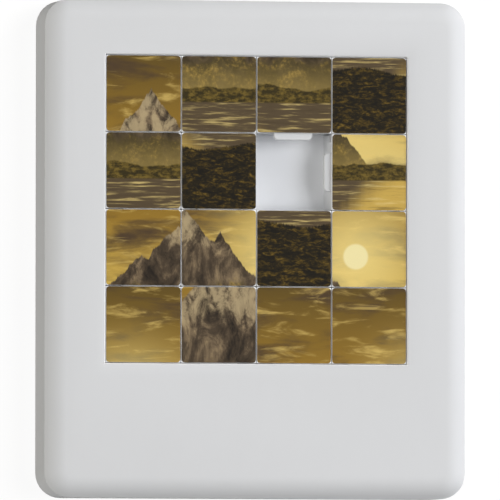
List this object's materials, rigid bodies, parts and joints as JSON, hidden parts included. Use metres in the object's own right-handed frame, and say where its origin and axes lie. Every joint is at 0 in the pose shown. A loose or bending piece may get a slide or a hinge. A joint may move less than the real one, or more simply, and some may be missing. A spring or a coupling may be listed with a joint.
{
  "type": "sliding tile puzzle",
  "caption": "Hand-held sliding picture puzzle: square tongue-and-groove tiles with printed faces shift around one empty cell in a rounded white plastic housing with a plain lower panel.",
  "frame": {"origin": "middle of the flat back face, on the surface that the puzzle lies on", "axes": "+Z out of the front face, +Y towards the top edge, +X to the right seen from the front"},
  "size_m": [0.0766, 0.0886, 0.0104],
  "materials": {
    "housing_plastic": "white, satin moulded",
    "cover_plastic": "white, matt moulded",
    "tray_plastic": "white, satin moulded",
    "tile_plastic": "white, semi-gloss moulded",
    "label_print": "colour-printed vinyl film, satin"
  },
  "bodies": {
    "housing": {"front_housing": "housing_plastic", "back_cover": "cover_plastic", "tile_tray": "tray_plastic"},
    "tile_01": {"tile_01": "tile_plastic", "face_label_01": "label_print"},
    "tile_02": {"tile_02": "tile_plastic", "face_label_02": "label_print"},
    "tile_03": {"tile_03": "tile_plastic", "face_label_03": "label_print"},
    "tile_04": {"tile_04": "tile_plastic", "face_label_04": "label_print"},
    "tile_05": {"tile_05": "tile_plastic", "face_label_05": "label_print"},
    "tile_06": {"tile_06": "tile_plastic", "face_label_06": "label_print"},
    "tile_07": {"tile_07": "tile_plastic", "face_label_07": "label_print"},
    "tile_08": {"tile_08": "tile_plastic", "face_label_08": "label_print"},
    "tile_09": {"tile_09": "tile_plastic", "face_label_09": "label_print"},
    "tile_10": {"tile_10": "tile_plastic", "face_label_10": "label_print"},
    "tile_11": {"tile_11": "tile_plastic", "face_label_11": "label_print"},
    "tile_12": {"tile_12": "tile_plastic", "face_label_12": "label_print"},
    "tile_13": {"tile_13": "tile_plastic", "face_label_13": "label_print"},
    "tile_14": {"tile_14": "tile_plastic", "face_label_14": "label_print"},
    "tile_15": {"tile_15": "tile_plastic", "face_label_15": "label_print"}
  },
  "joints": [
    {"name": "tile_01_slide", "type": "slide", "parent": "housing", "child": "tile_01", "axis": [1, 0, 0], "range_m": [-0.00005, 0.00005]},
    {"name": "tile_02_slide", "type": "slide", "parent": "housing", "child": "tile_02", "axis": [1, 0, 0], "range_m": [-0.00005, 0.00005]},
    {"name": "tile_03_slide", "type": "slide", "parent": "housing", "child": "tile_03", "axis": [0, -1, 0], "range_m": [-0.00005, 0.00005]},
    {"name": "tile_04_slide", "type": "slide", "parent": "housing", "child": "tile_04", "axis": [1, 0, 0], "range_m": [-0.00005, 0.00005]},
    {"name": "tile_05_slide", "type": "slide", "parent": "housing", "child": "tile_05", "axis": [1, 0, 0], "range_m": [0, 0.0137]},
    {"name": "tile_06_slide", "type": "slide", "parent": "housing", "child": "tile_06", "axis": [1, 0, 0], "range_m": [0, 0.0137]},
    {"name": "tile_07_slide", "type": "slide", "parent": "housing", "child": "tile_07", "axis": [-1, 0, 0], "range_m": [-0.00005, 0.00005]},
    {"name": "tile_08_slide", "type": "slide", "parent": "housing", "child": "tile_08", "axis": [1, 0, 0], "range_m": [-0.00005, 0.00005]},
    {"name": "tile_09_slide", "type": "slide", "parent": "housing", "child": "tile_09", "axis": [1, 0, 0], "range_m": [-0.00005, 0.00005]},
    {"name": "tile_10_slide", "type": "slide", "parent": "housing", "child": "tile_10", "axis": [0, -1, 0], "range_m": [-0.0137, 0]},
    {"name": "tile_11_slide", "type": "slide", "parent": "housing", "child": "tile_11", "axis": [1, 0, 0], "range_m": [-0.00005, 0.00005]},
    {"name": "tile_12_slide", "type": "slide", "parent": "housing", "child": "tile_12", "axis": [1, 0, 0], "range_m": [-0.00005, 0.00005]},
    {"name": "tile_13_slide", "type": "slide", "parent": "housing", "child": "tile_13", "axis": [1, 0, 0], "range_m": [-0.00005, 0.00005]},
    {"name": "tile_14_slide", "type": "slide", "parent": "housing", "child": "tile_14", "axis": [0, -1, 0], "range_m": [-0.0137, 0]},
    {"name": "tile_15_slide", "type": "slide", "parent": "housing", "child": "tile_15", "axis": [1, 0, 0], "range_m": [-0.00005, 0.00005]}
  ],
  "couplings": [
    {"joint": "tile_06_slide", "follows": "tile_05_slide", "ratio": 1},
    {"joint": "tile_10_slide", "follows": "tile_14_slide", "ratio": 1}
  ]
}
